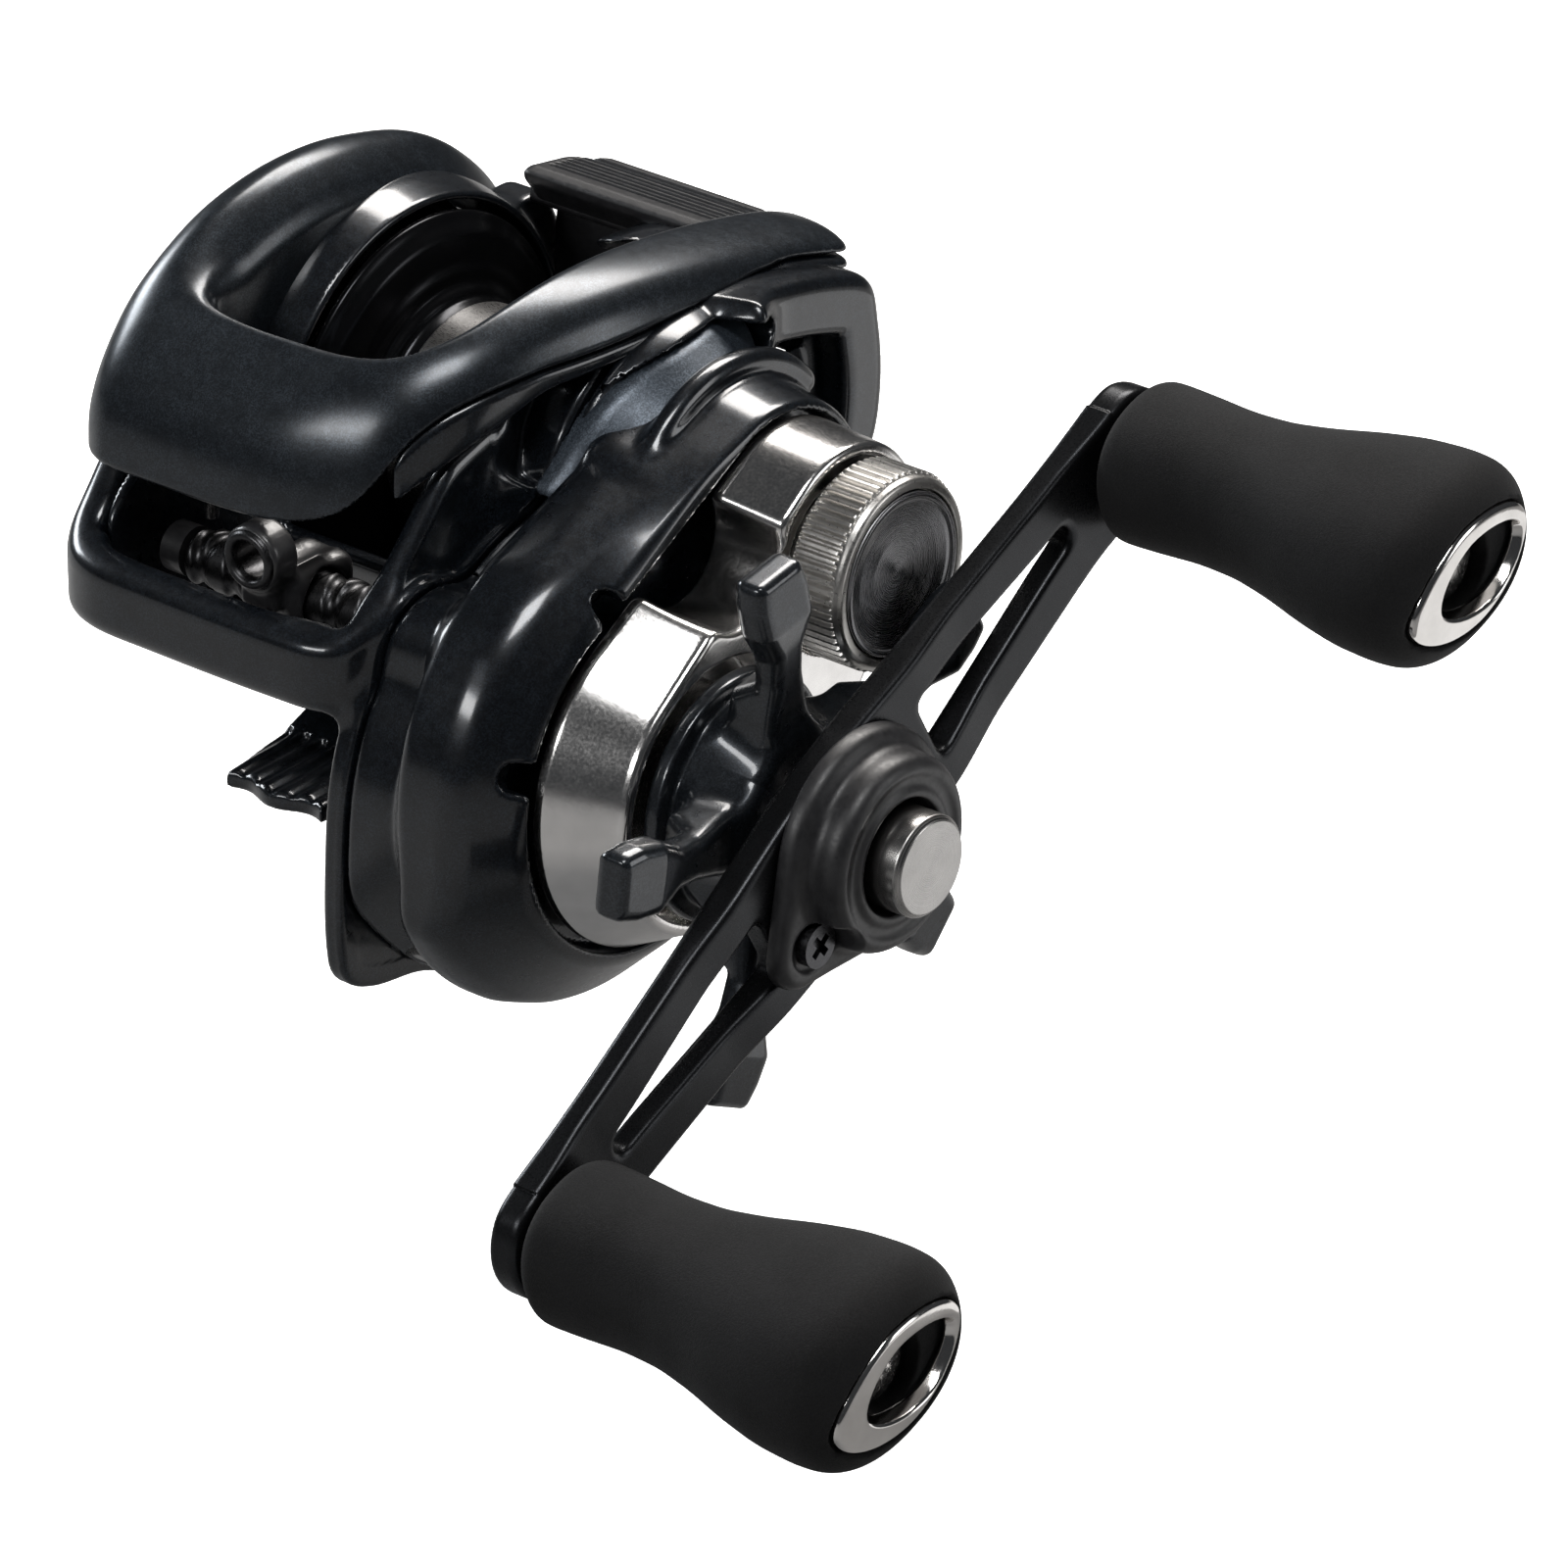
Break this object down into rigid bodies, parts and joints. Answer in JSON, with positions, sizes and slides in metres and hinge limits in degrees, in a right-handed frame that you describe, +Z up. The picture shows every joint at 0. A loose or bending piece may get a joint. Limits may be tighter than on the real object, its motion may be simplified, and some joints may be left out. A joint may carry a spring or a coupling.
{
  "type": "baitcasting reel",
  "caption": "Low-profile baitcasting fishing reel with a double-knob crank handle, star drag, cast-control knob, thumb bar clutch and level-wind line guide on a flat reel foot.",
  "frame": {"origin": "centre of the reel foot's flat underside", "axes": "+X along the spool shaft towards the handle, -Y towards the line exit, +Z up, away from the rod"},
  "size_m": [0.1146, 0.0934, 0.0633],
  "materials": {
    "body_gloss": "deep gloss blue-black metallic paint",
    "hood_satin": "satin blue-black metallic paint",
    "plate_chrome": "polished dark chrome",
    "steel": "machined steel",
    "brass": "machined brass",
    "spool_dark": "dark anodised aluminium, polished rims",
    "arm_dark": "dark grey anodised aluminium",
    "nut_silver": "brushed silver aluminium",
    "knob_silver": "machined and turned aluminium",
    "retainer_black": "moulded satin black plastic",
    "star_black": "gloss black",
    "grip_foam": "closed-cell foam, fine grain",
    "thumb_black": "grooved soft black",
    "carriage_black": "moulded black plastic",
    "white_plastic": "natural acetal",
    "carbon": "carbon cloth"
  },
  "bodies": {
    "frame": {"frame": "body_gloss", "hood": "hood_satin", "gear_cover": "body_gloss", "drag_shroud": "plate_chrome", "cover_screws": "steel", "hood_screws": "steel", "drive_bearing": "steel", "one_way_clutch": "steel", "spool_bearing_outer": "steel", "yoke_posts": "steel", "yoke_springs": "steel", "worm_bushings": "brass", "guide_rod": "steel", "tension_pad": "white_plastic"},
    "palm_cover": {"palm_cover": "body_gloss", "brake_ring": "steel", "spool_bearing_palm": "steel"},
    "brake_dial": {"brake_dial": "carriage_black"},
    "spool": {"spool": "spool_dark", "spool_shaft": "steel", "clutch_pin": "steel", "brake_hub": "white_plastic", "brake_shoes": "white_plastic"},
    "clutch_yoke": {"clutch_yoke": "white_plastic"},
    "pinion": {"pinion_gear": "brass"},
    "thumb_bar": {"thumb_bar": "carriage_black", "thumb_pad": "thumb_black"},
    "clutch_cam": {"clutch_cam": "steel"},
    "handle": {"drive_shaft": "steel", "ratchet_plate": "steel", "main_gear": "brass", "drag_washer": "carbon", "pressure_plate": "steel", "drag_springs": "steel", "clutch_sleeve": "steel", "worm_drive_gear": "white_plastic", "handle_arm": "arm_dark", "handle_nut": "nut_silver", "nut_retainer": "retainer_black", "retainer_screw": "steel", "knob_shafts": "steel", "knob_screws": "steel"},
    "star": {"star_drag": "star_black", "drag_nut": "brass"},
    "knob_upper": {"knob_upper": "grip_foam", "knob_upper_cap": "plate_chrome", "knob_upper_bearings": "steel"},
    "knob_lower": {"knob_lower": "grip_foam", "knob_lower_cap": "plate_chrome", "knob_lower_bearings": "steel"},
    "tension_knob": {"tension_knob": "knob_silver", "tension_disc": "knob_silver"},
    "worm": {"worm_shaft": "steel", "worm_gear": "white_plastic"},
    "idle_gear": {"idle_gear": "white_plastic"},
    "line_guide": {"line_guide": "carriage_black", "line_guide_eye": "steel", "pawl": "brass", "pawl_cap": "steel"}
  },
  "joints": [
    {"name": "palm_cover_slide", "type": "slide", "parent": "frame", "child": "palm_cover", "axis": [-1, 0, 0], "range_m": [0, 0.03]},
    {"name": "brake_dial_turn", "type": "hinge", "parent": "palm_cover", "child": "brake_dial", "pos_m": [0, 0, 0.0226], "axis": [1, 0, 0], "range_deg": [-150, 150]},
    {"name": "spool_spin", "type": "hinge", "parent": "frame", "child": "spool", "pos_m": [0, 0, 0.0226], "axis": [1, 0, 0], "continuous": true},
    {"name": "yoke_slide", "type": "slide", "parent": "frame", "child": "clutch_yoke", "axis": [1, 0, 0], "range_m": [0, 0.0018]},
    {"name": "pinion_spin", "type": "hinge", "parent": "clutch_yoke", "child": "pinion", "pos_m": [0, 0, 0.0226], "axis": [1, 0, 0], "continuous": true},
    {"name": "thumb_bar_press", "type": "slide", "parent": "frame", "child": "thumb_bar", "axis": [0, 0, -1], "range_m": [0, 0.004], "stiffness_N_per_m": 300},
    {"name": "clutch_cam_turn", "type": "hinge", "parent": "frame", "child": "clutch_cam", "pos_m": [0, 0, 0.0226], "axis": [1, 0, 0], "range_deg": [-12, 1]},
    {"name": "handle_spin", "type": "hinge", "parent": "frame", "child": "handle", "pos_m": [0, -0.016, 0.0074], "axis": [1, 0, 0], "continuous": true},
    {"name": "star_drag_turn", "type": "hinge", "parent": "handle", "child": "star", "pos_m": [0, -0.016, 0.0074], "axis": [1, 0, 0], "range_deg": [-180, 180]},
    {"name": "knob_upper_spin", "type": "hinge", "parent": "handle", "child": "knob_upper", "pos_m": [0, 0.02063, 0.02795], "axis": [1, 0, 0], "continuous": true},
    {"name": "knob_lower_spin", "type": "hinge", "parent": "handle", "child": "knob_lower", "pos_m": [0, -0.05263, -0.01315], "axis": [1, 0, 0], "continuous": true},
    {"name": "tension_knob_turn", "type": "hinge", "parent": "frame", "child": "tension_knob", "pos_m": [0, 0, 0.0226], "axis": [1, 0, 0], "range_deg": [-180, 180]},
    {"name": "worm_spin", "type": "hinge", "parent": "frame", "child": "worm", "pos_m": [0, -0.02686, 0.01845], "axis": [1, 0, 0], "continuous": true},
    {"name": "idle_spin", "type": "hinge", "parent": "frame", "child": "idle_gear", "pos_m": [0, -0.02196, 0.01346], "axis": [1, 0, 0], "continuous": true},
    {"name": "line_guide_slide", "type": "slide", "parent": "frame", "child": "line_guide", "axis": [1, 0, 0], "range_m": [-0.007, 0.007]}
  ],
  "couplings": [
    {"joint": "spool_spin", "follows": "handle_spin", "ratio": -7.0909},
    {"joint": "pinion_spin", "follows": "handle_spin", "ratio": -7.0909},
    {"joint": "idle_spin", "follows": "handle_spin", "ratio": -1.4286},
    {"joint": "worm_spin", "follows": "handle_spin", "ratio": 1.4286},
    {"joint": "yoke_slide", "follows": "thumb_bar_press", "ratio": 0.45},
    {"joint": "clutch_cam_turn", "follows": "thumb_bar_press", "rad_per_m": -48.377}
  ]
}
